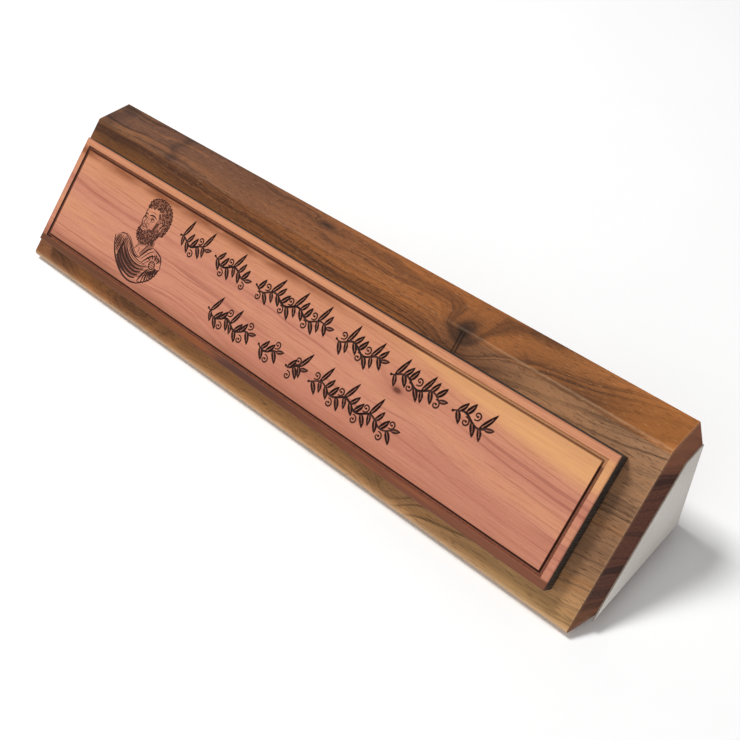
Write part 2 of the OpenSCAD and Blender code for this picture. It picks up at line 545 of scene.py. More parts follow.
def on_plate(x, y, lift):
    """A point of the plate in metres, lifted so many millimetres off its face."""
    return (plate_corner + Vector((x, 0, 0)) + UP_SLOPE * y + OFF_SLOPE * lift) * MM


# %% [markdown]
# Each cut is a pen line with a certain width. The field below is a fine grid
# that keeps how far inside a cut each point lies. Lines that cross melt into
# one shape by themselves, which is hard to get by joining outlines, and the
# same number later gives the slope of the walls. The other way would be to
# subtract thousands of small solids, which is slow and breaks easily.

# %% A field of cuts
class CutField:
    """How far inside a cut each point of a part of the face lies, in mm."""

    def __init__(self, low, high, pitch):
        self.low = low
        self.pitch = pitch
        across = np.arange(low[0], high[0], pitch)
        upward = np.arange(low[1], high[1], pitch)
        self.x, self.y = np.meshgrid(across, upward)
        self.inside = np.full(self.x.shape, -1.0)

    def near(self, a, b, reach):
        """The part of the grid round a stretch from a to b."""
        found = []
        for axis in (1, 0):
            first = (min(a[axis], b[axis]) - reach - self.low[axis]) / self.pitch
            last = (max(a[axis], b[axis]) + reach - self.low[axis]) / self.pitch
            found.append(slice(max(int(first), 0), max(int(last) + 2, 0)))
        return tuple(found)

    def stretches(self, points, widths):
        """For each stretch of a tapering line, the points near it and how far inside they lie."""
        for a, b, wide_a, wide_b in zip(points, points[1:], widths, widths[1:]):
            part = self.near(a, b, max(wide_a, wide_b) / 2 + 0.4)
            x, y = self.x[part], self.y[part]
            dx, dy = b[0] - a[0], b[1] - a[1]
            share = ((x - a[0]) * dx + (y - a[1]) * dy) / max(dx * dx + dy * dy, 1e-9)
            share = np.clip(share, 0, 1)
            gap = np.hypot(x - a[0] - share * dx, y - a[1] - share * dy)
            yield part, (wide_a + (wide_b - wide_a) * share) / 2 - gap

    def cut(self, points, widths):
        for part, inside in self.stretches(points, widths):
            self.inside[part] = np.maximum(self.inside[part], inside)

    def spare(self, points, widths):
        """Leaves a line standing where other lines have cut it away."""
        for part, inside in self.stretches(points, widths):
            self.inside[part] = np.minimum(self.inside[part], -inside)

    def at(self, x, y):
        """The field between grid points, or -1 outside the grid."""
        column = (x - self.low[0]) / self.pitch
        row = (y - self.low[1]) / self.pitch
        i, j = int(row), int(column)
        if not (0 <= i < self.inside.shape[0] - 1 and 0 <= j < self.inside.shape[1] - 1):
            return -1.0
        u, v = column - j, row - i
        below = self.inside[i, j] * (1 - u) + self.inside[i, j + 1] * u
        above = self.inside[i + 1, j] * (1 - u) + self.inside[i + 1, j + 1] * u
        return below * (1 - v) + above * v


sample = CutField((0.0, 0.0), (4.0, 4.0), 0.1)
sample.cut([(1.0, 2.0), (3.0, 2.0)], [0.4, 0.8])
print("a short stroke covers", int((sample.inside > 0).sum()), "points of its grid")


# %% Pen lines
def curve(points, steps=6):
    """A smooth line through a few given points (Catmull-Rom)."""
    p = [np.array(point, float) for point in points]
    p = [2 * p[0] - p[1]] + p + [2 * p[-1] - p[-2]]
    line = []
    for a, b, c, d in zip(p, p[1:], p[2:], p[3:]):
        for i in range(steps):
            t = i / steps
            bend = (2 * a - 5 * b + 4 * c - d) * t * t + (3 * b - 3 * c + d - a) * t ** 3
            line.append(tuple(0.5 * (2 * b + (c - a) * t + bend)))
    return line + [tuple(p[-2])]


def swell(count, width, tip, power=0.7):
    """Widths of a line that starts fine, swells and ends fine, as from a pen."""
    rise = [max(0.0, math.sin(math.pi * i / (count - 1))) ** power for i in range(count)]
    return [width * (tip + (1 - tip) * share) for share in rise]


def pen(field, points, width, tip=0.2, power=0.7):
    line = curve(points)
    field.cut(line, swell(len(line), width, tip, power))


def spiral(field, centre, radius, turns, start, width, hand=1, berry=0.0):
    """A curl that winds in from its outer end, and may end in a round berry."""
    count = int(14 * turns) + 4
    line = []
    widths = []
    for i in range(count):
        t = i / (count - 1)
        reach = radius * (1 - 0.82 * t)
        turn = start + hand * 2 * math.pi * turns * t
        line.append((centre[0] + reach * math.cos(turn), centre[1] + reach * math.sin(turn)))
        widths.append(width * (0.35 + 0.65 * max(0.0, math.sin(math.pi * min(1.0, 0.15 + t))) ** 0.8))
    field.cut(line, widths)
    if berry:
        field.cut([line[-1]] * 2, [berry] * 2)


def leaf(field, foot, angle, length, width, bend):
    """A plump pointed leaf, with its middle vein left standing."""
    steps = 14
    spine = [foot]
    for i in range(steps):
        heading = math.radians(angle + bend * (i / steps - 0.3))
        x, y = spine[-1]
        spine.append((x + length / steps * math.cos(heading), y + length / steps * math.sin(heading)))
    share = [max(0.0, math.sin(math.pi * (i / steps) ** 0.75)) ** 0.85 for i in range(steps + 1)]
    field.cut(spine, [0.2 + 1.12 * width * s for s in share])
    field.spare(spine[2:11], [0.17 * (1 - 0.067 * i) for i in range(9)])


print("widths of a swelling line:", [round(width, 2) for width in swell(5, 1.0, 0.2)])


# %% [markdown]
# The sprigs. A printer's border repeats one small plant, and never quite the
# same twice. Each sprig has a waving stem, and at each knuckle a pair of
# leaves, or a leaf and a curl with a berry. Now and then a leaf stands tall.
# They fill two rows beside the bust, in groups with small gaps between them.

# %% Two rows of sprigs
def sprig(field, left, base, length, seed):
    """One sprig on a base line. The seed picks where its pattern starts."""
    chance = random.Random(seed)
    knuckles = max(3, round(length / 2.55))
    pitch = length / knuckles

    def stem(x):
        return left + x, base + 3.1 + 1.05 * math.sin(2 * math.pi * x / (pitch * 4) + seed)

    steps = 60
    path = [stem(length * i / steps) for i in range(steps + 1)]
    field.cut(path, swell(steps + 1, 0.78, 0.6, 1.0))
    for i in range(knuckles):
        foot = stem((i + 0.35) * pitch)
        slant = chance.uniform(52, 64)
        kind = (i + seed) % 4
        if kind == 0:
            leaf(field, foot, slant + 6, chance.uniform(6.6, 7.2), 1.35, 10)
            leaf(field, foot, -slant - 6, 3.6, 1.25, -18)
        elif kind == 1:
            leaf(field, foot, -slant, 4.0, 1.45, -16)
            leaf(field, (foot[0] + 0.2, foot[1]), slant, 4.1, 1.35, 22)
        elif kind == 2:
            leaf(field, foot, slant, 4.3, 1.5, 20)
            spiral(field, (foot[0] + 0.9, foot[1] - 2.3), 1.5, 1.15, 1.9, 0.56, -1, 0.8)
        else:
            leaf(field, foot, 4 - slant, 4.3, 1.45, -22)
            spiral(field, (foot[0] + 0.7, foot[1] + 2.5), 1.45, 1.15, -1.9, 0.56, 1, 0.8)
    leaf(field, stem(length - 0.2), 18, 3.0, 1.2, 10)
    field.cut([stem(-0.3)] * 2, [0.9] * 2)


rows = CutField((58.0, 3.0), (199.0, 38.0), 0.1)
UPPER_ROW = ((61.5, 12.4), (79.2, 15.4), (99.8, 31.4), (136.4, 17.4), (159.0, 17.9), (182.2, 11.4))
LOWER_ROW = ((86.6, 19.4), (111.4, 7.4), (124.4, 5.4), (134.6, 33.4))
for number, (left, length) in enumerate(UPPER_ROW):
    sprig(rows, left, 25.5, length, 20 + number)
for number, (left, length) in enumerate(LOWER_ROW):
    sprig(rows, left, 9.7, length, 40 + number)
print("sprigs:", len(UPPER_ROW) + len(LOWER_ROW))

# %% [markdown]
# The bust, in the manner of an old wood engraving: fine outlines, short
# strokes that follow the form, and curls for the hair and the beard. All its
# points are measured from the middle of the head, which makes them easy to
# draw. The cloak comes first, then the neck, and the head is drawn over both.

# %% The bust's own pen
HEAD = (47.6, 27.6)
PEN_WEIGHT = 1.3   # the pen cuts a little wider than the widths below say
bust = CutField((33.0, 4.5), (61.5, 38.0), 0.06)
print("bust grid:", bust.inside.shape)


def from_head(points):
    return [(HEAD[0] + u, HEAD[1] + v) for u, v in points]


def draw(points, width, tip=0.2, power=0.7):
    pen(bust, from_head(points), PEN_WEIGHT * width, tip, power)


def hatch(count, points, moves, widths, tip=0.2):
    """Strokes side by side. From one to the next each point moves by its own step."""
    for i in range(count):
        stroke = [(u + du * i, v + dv * i) for (u, v), (du, dv) in zip(points, moves)]
        draw(stroke, widths[i % len(widths)], tip)


def dot(u, v, width):
    bust.cut(from_head([(u, v)] * 2), [width] * 2)


def within(region, x, y):
    """Whether points lie inside a closed outline."""
    inside = np.zeros(np.shape(x), bool)
    for (a, b), (c, d) in zip(region, region[1:] + region[:1]):
        if b != d:
            inside ^= ((b > y) != (d > y)) & (x < (c - a) * (y - b) / (d - b) + a)
    return inside


def wipe(region, outside=False):
    """Clears what is drawn in a region, so that the next thing lies in front."""
    chosen = within(region, bust.x - HEAD[0], bust.y - HEAD[1])
    bust.inside[~chosen if outside else chosen] = -0.5


# %% The cloak: folds that hang over the chest
NECK_EDGE = [(-7.8, -9.6), (-5.6, -12.6), (-1.9, -14.9), (2.9, -15.3), (7.0, -13.4)]
HEM_EDGE = [(-13.2, -11.2), (-10.8, -15.4), (-5.8, -19.5), (1.0, -21.3), (7.2, -18.2)]
# How far down from the neck edge, how wide, and which points it runs through
FOLDS = [
    (0.00, 0.50, 0, 5), (0.12, 0.30, 0, 4), (0.22, 0.62, 0, 5), (0.34, 0.26, 1, 4), (0.44, 0.66, 0, 5),
    (0.55, 0.30, 0, 3), (0.65, 0.60, 0, 5), (0.76, 0.30, 0, 4), (0.86, 0.56, 0, 5), (0.94, 0.26, 1, 4),
]


def fold_line(share):
    return [
        (a[0] + (b[0] - a[0]) * share, a[1] + (b[1] - a[1]) * share)
        for a, b in zip(NECK_EDGE, HEM_EDGE)
    ]


chance = random.Random(5)
for share, width, first, last in FOLDS:
    draw(fold_line(share)[first:last], width, 0.12, 0.9)
    shade = curve(from_head(fold_line(share + 0.035)), 10)
    start = 6 + chance.randrange(5)
    part = shade[start:start + 13 + chance.randrange(8)]
    bust.cut(part, swell(len(part), 0.16, 0.3))

BODY_EDGE = [
    (-13.7, -10.6), (-12.2, -13.6), (-9.8, -16.7), (-6.4, -19.4), (-2.4, -21.3), (1.6, -21.9),
    (5.4, -21.1), (8.8, -18.9), (11.2, -15.9), (12.0, -12.6),
]
BUNDLE = [
    (-8.4, -8.0), (-11.4, -8.8), (-13.7, -10.6), (-12.6, -13.2), (-10.8, -15.6), (-9.0, -17.4),
    (-8.6, -15.0), (-8.3, -12.4), (-7.6, -9.6),
]
wipe(BUNDLE)
BUNDLE_WIDTHS = (0.5, 0.26, 0.44, 0.24, 0.4, 0.24)
hatch(
    len(BUNDLE_WIDTHS), [(-8.5, -8.4), (-8.9, -12.6), (-9.0, -17.0)],
    [(-0.72, -0.18), (-0.74, 0.2), (-0.72, 0.72)], BUNDLE_WIDTHS, 0.12,
)
draw([(-7.8, -9.3), (-8.3, -12.0), (-8.5, -14.8), (-9.2, -17.2)], 0.4, 0.3)
draw([(-8.6, -8.1), (-11.2, -8.7), (-13.0, -9.8), (-13.7, -10.6)], 0.42, 0.4)
print("folds:", len(FOLDS) + len(BUNDLE_WIDTHS))

# %% The cloak: pleats gathered under a round brooch
BROOCH = (7.9, -12.9)


def round_brooch(reach, turn):
    """A point so far from the brooch's middle, at so many degrees."""
    turn = math.radians(turn)
    return BROOCH[0] + reach * math.cos(turn), BROOCH[1] + reach * math.sin(turn)


wipe([
    (6.0, -13.8), (2.6, -21.4), (5.4, -20.8), (8.8, -18.6), (11.0, -15.8), (11.8, -12.4), (9.0, -11.0),
])
PLEATS = 10
for i in range(PLEATS):
    turn = -112 + 11.6 * i
    reach = 8.3 - 4.6 * (i / (PLEATS - 1)) ** 0.8
    near, far = round_brooch(1.7, turn), round_brooch(reach, turn)
    lean = (0.3 * math.sin(math.radians(turn)), -0.3 * math.cos(math.radians(turn)))
    middle = ((near[0] + far[0]) / 2 + lean[0], (near[1] + far[1]) / 2 + lean[1])
    draw([near, middle, far], (0.6, 0.4)[i % 2], 0.2)
wipe(BODY_EDGE + [(9.0, -7.6), (0.0, -5.0), (-10.0, -7.6)], outside=True)
draw(BODY_EDGE[:7], 0.56, 0.5)
for i in range(7):
    turn = 42 + 17 * i
    crease = [round_brooch(reach, turn + bend) for reach, bend in ((1.9, 0), (2.9, 4), (4.0, 12))]
    draw(crease, (0.42, 0.26)[i % 2])
wipe([round_brooch(1.75, 22.5 * i) for i in range(16)])
draw([round_brooch(1.4, 30 * i) for i in range(13)], 0.34, 1.0)
for i in range(8):
    draw([round_brooch(0.6, 45 * i), round_brooch(1.05, 45 * i)], 0.28, 0.7)
dot(*BROOCH, 0.5)
print("pleats:", PLEATS)

# %% The neck and the collar
# Each line has its points, its width and how fine its ends are
NECK_LINES = (
    ([(-2.3, -8.0), (-2.1, -9.4), (-2.9, -11.1)], 0.30, 0.3),
    ([(2.9, -6.6), (1.5, -9.2), (0.2, -11.9)], 0.26, 0.2),
    ([(-0.9, -9.4), (-0.6, -10.8), (-0.7, -12.2)], 0.20, 0.2),
    ([(-9.2, -8.3), (-6.3, -9.5), (-3.7, -11.6), (-1.2, -13.0), (1.2, -13.0)], 0.48, 0.3),
    ([(-8.7, -9.0), (-6.0, -10.5), (-3.0, -12.8), (1.0, -13.9), (4.6, -13.9)], 0.34, 0.2),
    ([(-8.2, -9.5), (-5.8, -11.5), (-2.4, -13.8), (2.0, -14.6), (5.8, -13.8)], 0.24, 0.2),
    ([(-9.2, -7.9), (-6.3, -8.75), (-3.7, -10.85), (-1.2, -12.25), (1.2, -12.7)], 0.26, 0.3),
    ([(1.0, -12.9), (2.2, -10.8), (3.5, -8.8), (5.2, -7.5)], 0.46, 0.3),
    ([(1.9, -13.3), (3.3, -11.2), (4.8, -9.3), (6.6, -8.2)], 0.30, 0.3),
    ([(2.9, -14.0), (4.3, -12.1), (5.8, -10.4), (7.6, -9.4)], 0.44, 0.3),
    ([(4.0, -14.2), (5.2, -12.7), (6.4, -11.5)], 0.26, 0.3),
    ([(5.2, -7.5), (8.0, -8.0), (10.6, -9.4), (12.0, -12.6)], 0.42, 0.4),
)
for points, width, tip in NECK_LINES:
    draw(points, width, tip)
hatch(8, [(-1.8, -7.6), (-1.5, -8.6), (-1.55, -9.6)], [(0.56, 0.2)] * 3, (0.24,), 0.1)
hatch(4, [(2.9, -5.0), (3.0, -6.2), (3.4, -7.4)], [(0.3, -0.2), (0.3, 0), (0.3, 0)], (0.24,))
hatch(4, [(7.4, -8.5), (8.1, -9.7), (8.1, -11.1)], [(1, -0.35), (0.85, -0.2), (0.8, 0)], (0.36, 0.22))
print("lines in the neck and the collar:", len(NECK_LINES))

# %% [markdown]
# The head. It is nobody's: its eyes sit halfway down, the nose ends halfway
# from the brows to the chin, and the mouth is a third of the way below that,
# as a drawing book teaches. It is turned three quarters to the left and calm.
# Short slanting strokes shade the cheek, the temple and the side of the nose.

# %% The face
HAIR = [
    (-4.9, 4.2), (-5.1, 5.7), (-4.2, 7.2), (-2.4, 8.1), (0.0, 8.6), (2.6, 8.2), (4.9, 7.1), (6.5, 5.1),
    (7.2, 2.6), (7.0, 0.1), (6.4, -1.8), (5.3, -3.2), (4.6, -2.6), (4.6, -0.6), (4.6, 1.2), (4.0, 1.9),
    (3.1, 1.8), (2.6, 3.1), (1.4, 4.4), (-0.6, 4.9), (-2.8, 4.7),
]
BEARD = [
    (3.0, -1.5), (4.3, -1.8), (4.5, -3.4), (3.8, -5.0), (2.5, -6.4), (0.7, -7.6), (-1.5, -8.1),
    (-3.5, -7.5), (-4.8, -6.1), (-5.3, -4.4), (-5.1, -2.9), (-4.3, -3.75), (-3.1, -4.1), (-1.7, -3.7),
    (-0.6, -2.7), (0.8, -2.6), (2.0, -2.3),
]
wipe(HAIR)
wipe(BEARD)
FACE_LINES = (
    ([(-4.75, 4.2), (-5.15, 3.1), (-5.2, 2.2), (-4.95, 1.2), (-5.3, 0.1), (-5.35, -0.9),
      (-5.0, -2.2)], 0.34, 0.4),
    ([(-3.15, 1.6), (-2.1, 2.1), (-0.8, 2.2), (0.8, 1.65)], 0.44, 0.15),
    ([(-3.85, 1.65), (-4.5, 1.95), (-5.1, 1.75)], 0.38, 0.2),
    ([(-2.35, 0.6), (-1.6, 1.05), (-0.7, 1.08), (0.15, 0.62)], 0.30, 0.2),
    ([(-2.1, 0.32), (-1.3, 0.1), (-0.5, 0.14), (0.0, 0.45)], 0.16, 0.3),
    ([(-2.3, 1.32), (-1.2, 1.56), (0.2, 1.15)], 0.15, 0.2),
    ([(-4.95, 0.65), (-4.5, 1.0), (-3.95, 0.72)], 0.26, 0.3),
    ([(-4.8, 0.35), (-4.4, 0.18), (-4.0, 0.35)], 0.14, 0.3),
    ([(-3.55, 1.4), (-3.75, 0.5), (-4.12, -0.55), (-4.28, -1.1), (-3.95, -1.55), (-3.4, -1.6)], 0.25, 0.35),
    ([(-3.2, -1.68), (-2.75, -1.6), (-2.6, -1.15), (-2.85, -0.8)], 0.26, 0.25),
    ([(-3.8, -1.62), (-3.3, -1.5)], 0.26, 0.5),
    ([(-2.15, -0.5), (-1.6, -1.2), (-1.5, -1.9)], 0.17, 0.15),
    ([(-2.9, 3.2), (-1.6, 3.4), (-0.3, 3.2)], 0.12, 0.1),
    ([(-2.2, -0.15), (-1.3, -0.35), (-0.4, -0.2)], 0.12, 0.1),
    ([(-4.3, -2.78), (-3.8, -2.66), (-3.3, -2.74), (-2.2, -2.74)], 0.28, 0.2),
    ([(-3.95, -3.28), (-3.4, -3.38), (-2.8, -3.26)], 0.24, 0.2),
    ([(3.0, 0.9), (3.4, 1.5), (4.1, 1.45), (4.3, 0.6), (4.0, -0.4), (3.6, -1.25), (3.1, -1.5),
      (3.0, -1.0)], 0.30, 0.3),
    ([(3.4, 0.8), (3.8, 0.6), (3.7, -0.2), (3.35, -0.6)], 0.22, 0.2),
)
for points, width, tip in FACE_LINES:
    draw(points, width, tip)
for u, v, width in ((-1.35, 0.62, 0.6), (-4.48, 0.62, 0.5), (3.3, 0.0, 0.3)):
    dot(u, v, width)
print("lines in the face:", len(FACE_LINES))

# %% Shading of the face
# How many strokes, the first one, how each of its points moves on, the width and the tips
HATCHING = (
    (10, [(2.9, 1.0), (2.0, 0.5), (0.9, 0.25)], [(-0.11, -0.36), (-0.13, -0.36), (-0.07, -0.36)], 0.19, 0.1),
    (8, [(2.7, 2.9), (1.9, 2.4), (1.1, 2.2)], [(-0.16, 0.2), (-0.12, 0.22), (-0.1, 0.25)], 0.17, 0.1),
    (6, [(-3.15, 1.05), (-2.6, 0.75)], [(-0.07, -0.34), (-0.03, -0.34)], 0.15, 0.3),
    (4, [(-5.0, -1.0), (-4.75, -1.25), (-4.4, -1.35)], [(0, -0.3)] * 3, 0.14, 0.2),
    (5, [(-3.5, -1.95), (-2.5, -2.15), (-1.4, -2.9)],
     [(0.12, -0.05), (0.16, -0.07), (0.1, -0.2)], 0.26, 0.15),
    (3, [(-3.9, -1.95), (-4.5, -2.15), (-4.95, -2.6)], [(0, -0.12), (0, -0.12), (0, -0.18)], 0.24, 0.15),
)
for count, points, moves, width, tip in HATCHING:
    hatch(count, points, moves, (width,), tip)
print("strokes of shading:", sum(row[0] for row in HATCHING))

# %% [markdown]
# Curly hair is many small spirals with short strokes between them. Their
# places are drawn by chance, and a place too near another is passed over, so
# they spread evenly. A row of small scallops then closes the outline.

# %% Curls of the hair and the beard
def curls(region, size, width, seed):
    chance = random.Random(seed)
    low_u, high_u = min(p[0] for p in region), max(p[0] for p in region)
    low_v, high_v = min(p[1] for p in region), max(p[1] for p in region)
    made = []
    for _ in range(2400):
        u, v = chance.uniform(low_u, high_u), chance.uniform(low_v, high_v)
        room = min([9.0] + [math.hypot(u - a, v - b) for a, b in made])
        if not within(region, u, v) or room < size * 0.84:
            continue
        made.append((u, v))
        reach, turns = size * chance.uniform(0.42, 0.54), chance.uniform(0.8, 1.15)
        start, wide = chance.uniform(0, 2 * math.pi), width * chance.uniform(0.9, 1.25)
        spiral(bust, (HEAD[0] + u, HEAD[1] + v), reach, turns, start, wide, chance.choice((-1, 1)))
    for _ in range(int(3.0 * len(made))):
        u, v = chance.uniform(low_u, high_u), chance.uniform(low_v, high_v)
        if within(region, u, v):
            turn, wide = chance.uniform(0, math.pi), chance.uniform(0.2, 0.4)
            draw([(u, v), (u + 0.45 * math.cos(turn), v + 0.45 * math.sin(turn))], wide, 0.4)
    return len(made)


def scallops(points, size, width):
    path = curve(points, 12)
    start = path[0]
    for u, v in path[1:]:
        du, dv = u - start[0], v - start[1]
        if math.hypot(du, dv) > size:
            bulge = ((start[0] + u) / 2 - 0.26 * dv, (start[1] + v) / 2 + 0.26 * du)
            draw([start, bulge, (u, v)], width, 0.35)
            start = (u, v)


def closed(points):
    """A smooth closed loop through a few points, placed round the head."""
    smooth = curve(from_head(points + points[:1]), 4)
    return smooth[:-1]


def between_folds(high, low):
    return fold_line(high)[:5] + fold_line(low)[4::-1]


# Half-tones, where the laser only browns the wood: the hair, the beard, the gathered cloth,
# the valleys between folds, the cheek and the neck
SHADED = [HAIR, BEARD, [(-10.8, -9.0), (-12.9, -10.6), (-12.0, -13.0), (-10.2, -15.4), (-9.8, -12.4)]]
SHADED += [between_folds(share, share + 0.13) for share in (0.02, 0.26, 0.48, 0.70)]
SHADED += [
    [(2.9, 3.0), (1.6, 2.7), (1.0, 0.4), (1.1, -1.5), (2.0, -2.2), (3.0, -1.5), (2.9, 0.9)],
    [(0.2, -11.4), (1.8, -8.8), (3.1, -6.4), (4.6, -5.4), (4.9, -7.2), (3.0, -9.0), (1.2, -12.2)],
]
SHADES = [closed(region) for region in SHADED]
curl_count = curls(HAIR, 1.12, 0.36, 3) + curls(BEARD, 0.98, 0.34, 7)
scallops(HAIR[:12], 1.1, 0.36)
scallops(BEARD[1:11], 1.0, 0.34)
scallops(BODY_EDGE[6:], 1.3, 0.5)
print("curls:", curl_count)

# %% [markdown]
# Now the field becomes an outline. The lines along which a field has one value
# are found cell by cell: each cell of the grid knows whether its four corners
# lie inside, so the line can only cross it in a few ways. Neighbouring cells
# share their crossings, which join up into closed loops.

# %% Contour loops of a field
def contour(field, level):
    """Closed loops along which the field has the level."""
    value = field.inside - level
    inside = value > 0
    corners = [inside[:-1, :-1], inside[:-1, 1:], inside[1:, 1:], inside[1:, :-1]]
    count = sum(c.astype(int) for c in corners)
    follows = {}
    for i, j in np.argwhere((count > 0) & (count < 4)):
        i, j = int(i), int(j)
        edges = [(0, i, j), (1, i, j + 1), (0, i + 1, j), (1, i, j)]
        flags = [bool(c[i, j]) for c in corners]
        for k in range(4):
            if flags[k] and not flags[(k + 1) % 4]:
                m = (k + 1) % 4
                while flags[m] or not flags[(m + 1) % 4]:
                    m = (m + 1) % 4
                follows[edges[k]] = edges[m]

    def crossing(edge):
        upright, i, j = edge
        a = value[i, j]
        b = value[i + 1, j] if upright else value[i, j + 1]
        share = min(max(a / (a - b), 0.02), 0.98)
        x = field.low[0] + (j + (0 if upright else share)) * field.pitch
        return x, field.low[1] + (i + (share if upright else 0)) * field.pitch

    loops = []
    while follows:
        edge, following = follows.popitem()
        loop = [crossing(edge)]
        while following in follows:
            loop.append(crossing(following))
            following = follows.pop(following)
        loops.append(loop)
    return loops


def fewer_points(loop, slack):
    """The same loop without the points that a straight line can stand for."""
    points = np.array(loop + loop[:1])
    half = len(loop) // 2
    keep = {0, half}
    spans = [(0, half), (half, len(loop))]
    while spans:
        first, last = spans.pop()
        if last - first < 2:
            continue
        along = points[last] - points[first]
        off = points[first + 1:last] - points[first]
        away = np.abs(off[:, 0] * along[1] - off[:, 1] * along[0]) / max(np.hypot(*along), 1e-9)
        worst = int(away.argmax())
        if away[worst] > slack:
            middle = first + 1 + worst
            keep.add(middle)
            spans += [(first, middle), (middle, last)]
    return [loop[k] for k in sorted(keep)]


SLACK = 0.014   # mm
outline = contour(sample, 0.0)[0]
print("the short stroke:", len(outline), "points, then", len(fewer_points(outline, SLACK)))


# %% [markdown]
# The face of the plate is one sheet of triangles. The outline, the border's
# steps and the contours of the drawing are given to Delaunay's rule as fixed
# lines, and it fills in triangles that keep to them. Each fixed line has its
# own depth, so the walls between two of them slope, as a laser's cut does.

# %% Lines that the face must keep to
lines_at = []   # (closed loop, lift off the face in mm)


def rectangle(inset):
    return [
        (inset, inset), (plate_length - inset, inset),
        (plate_length - inset, plate_width - inset), (inset, plate_width - inset),
    ]


EASED_EDGE = 0.15
BORDER = 2.4
# Inset and lift of each line: the board's edge, then a shallow band, then a fine deep line
BORDER_STEPS = (
    (0.0, -EASED_EDGE), (EASED_EDGE, 0.0), (BORDER, 0.0), (BORDER + 0.22, -0.35),
    (BORDER + 0.88, -0.35), (BORDER + 1.05, -0.62), (BORDER + 1.12, -0.62), (BORDER + 1.48, 0.0),
)
for inset, lift in BORDER_STEPS:
    lines_at.append((rectangle(inset), lift))
# How far inside a cut each contour runs, and how deep the cut is there
CUT_STEPS = ((bust, ((0.0, 0.0), (0.09, 0.14), (0.2, 0.3))), (rows, ((0.0, 0.0), (0.13, 0.2), (0.34, 0.5))))
for field, steps in CUT_STEPS:
    for level, depth in steps:
        for loop in contour(field, level):
            loop = fewer_points(loop, SLACK)
            if len(loop) > 3:
                lines_at.append((loop, -depth))
lines_at += [(loop, None) for loop in SHADES]
print("fixed lines:", len(lines_at), "with", sum(len(loop) for loop, lift in lines_at), "points")


# %% The plate's mesh
CHARRED, LASER_EDGE, SCORCHED = 1, 2, 3   # places in the plate's list of finishes, after cedar


def inside_a_cut(x, y):
    return max(bust.at(x, y), rows.at(x, y))


def lift_at(x, y):
    """How far a point of the face is sunk, for points that lie between the fixed lines."""
    deepest = 0.0
    for field, steps in CUT_STEPS:
        sunk = np.interp(field.at(x, y), [level for level, _ in steps], [depth for _, depth in steps])
        deepest = min(deepest, -float(sunk))
    return deepest


def is_shaded(x, y):
    return any(within(loop, x, y) for loop in SHADES)


def plate_mesh(name):
    points = []
    lifts = []
    edges = []
    for loop, lift in lines_at:
        first = len(points)
        points += [Vector(p) for p in loop]
        lifts += [lift_at(*p) if lift is None else lift for p in loop]
        edges += [(first + k, first + (k + 1) % len(loop)) for k in range(len(loop))]
    flat, _, triangles, sources, _, _ = geometry.delaunay_2d_cdt(points, edges, [], 0, 1e-5)
    shape = bmesh.new()
    face_points = []
    for point, source in zip(flat, sources):
        lift = min(lifts[k] for k in source) if source else lift_at(point.x, point.y)
        face_points.append(shape.verts.new(on_plate(point.x, point.y, lift)))
    for triangle in triangles:
        face = shape.faces.new([face_points[k] for k in triangle])
        middle = sum((flat[k] for k in triangle), Vector((0, 0))) / 3
        if inside_a_cut(middle.x, middle.y) > 0.01:
            face.material_index = CHARRED
        elif is_shaded(middle.x, middle.y):
            face.material_index = SCORCHED
    top = face_points[:4]   # the outline went in first
    bottom = [shape.verts.new(on_plate(x, y, -PLATE_THICKNESS)) for x, y in rectangle(0)]
    for k in range(4):
        side = shape.faces.new([bottom[k], bottom[(k + 1) % 4], top[(k + 1) % 4], top[k]])
        side.material_index = LASER_EDGE
    shape.faces.new(bottom[::-1])
    return mesh_from(shape, name)


plate = add_object("cedar_plate_engraved", plate_mesh("cedar_plate_engraved"))
print("plate faces:", len(plate.data.polygons))

# %% [markdown]
# Red cedar is salmon pink with thin red growth lines, and pale yellow where
# the outer sapwood begins. The plate is flat, so its colours are laid out in
# its own measures: across, up and lift, which the shader works out from the
# place of each point. The growth lines are level lines of a gentle landscape.
# A hill in that landscape bends the lines round it, which is how the small
# knot and the swirl near the lower edge are made. Where the laser has passed,
# the wood turns brown and then black.

# %% Plate measures in the shader
def plate_measures(f):
    """Across from the left end, up from the lower edge, and lift off the face, in mm."""
    from_corner = f.vector("SUBTRACT", f.place, tuple(plate_corner))
    up, lift = (f.vector("DOT_PRODUCT", from_corner, tuple(way)) for way in (UP_SLOPE, OFF_SLOPE))
    return f.split(from_corner)[0], up, lift


def nearest_edge(f, across, up):
    """How far a point of the face lies from the nearest edge of the plate."""
    level = f.least(across, f.minus(plate_length, across))
    return f.least(level, f.least(up, f.minus(plate_width, up)))


print("lower left corner of the face, in mm:", [round(c, 1) for c in plate_corner])


# %% Cedar
SMALL_KNOT = (163.0, 24.4)
SWIRL = (72.0, 1.5)


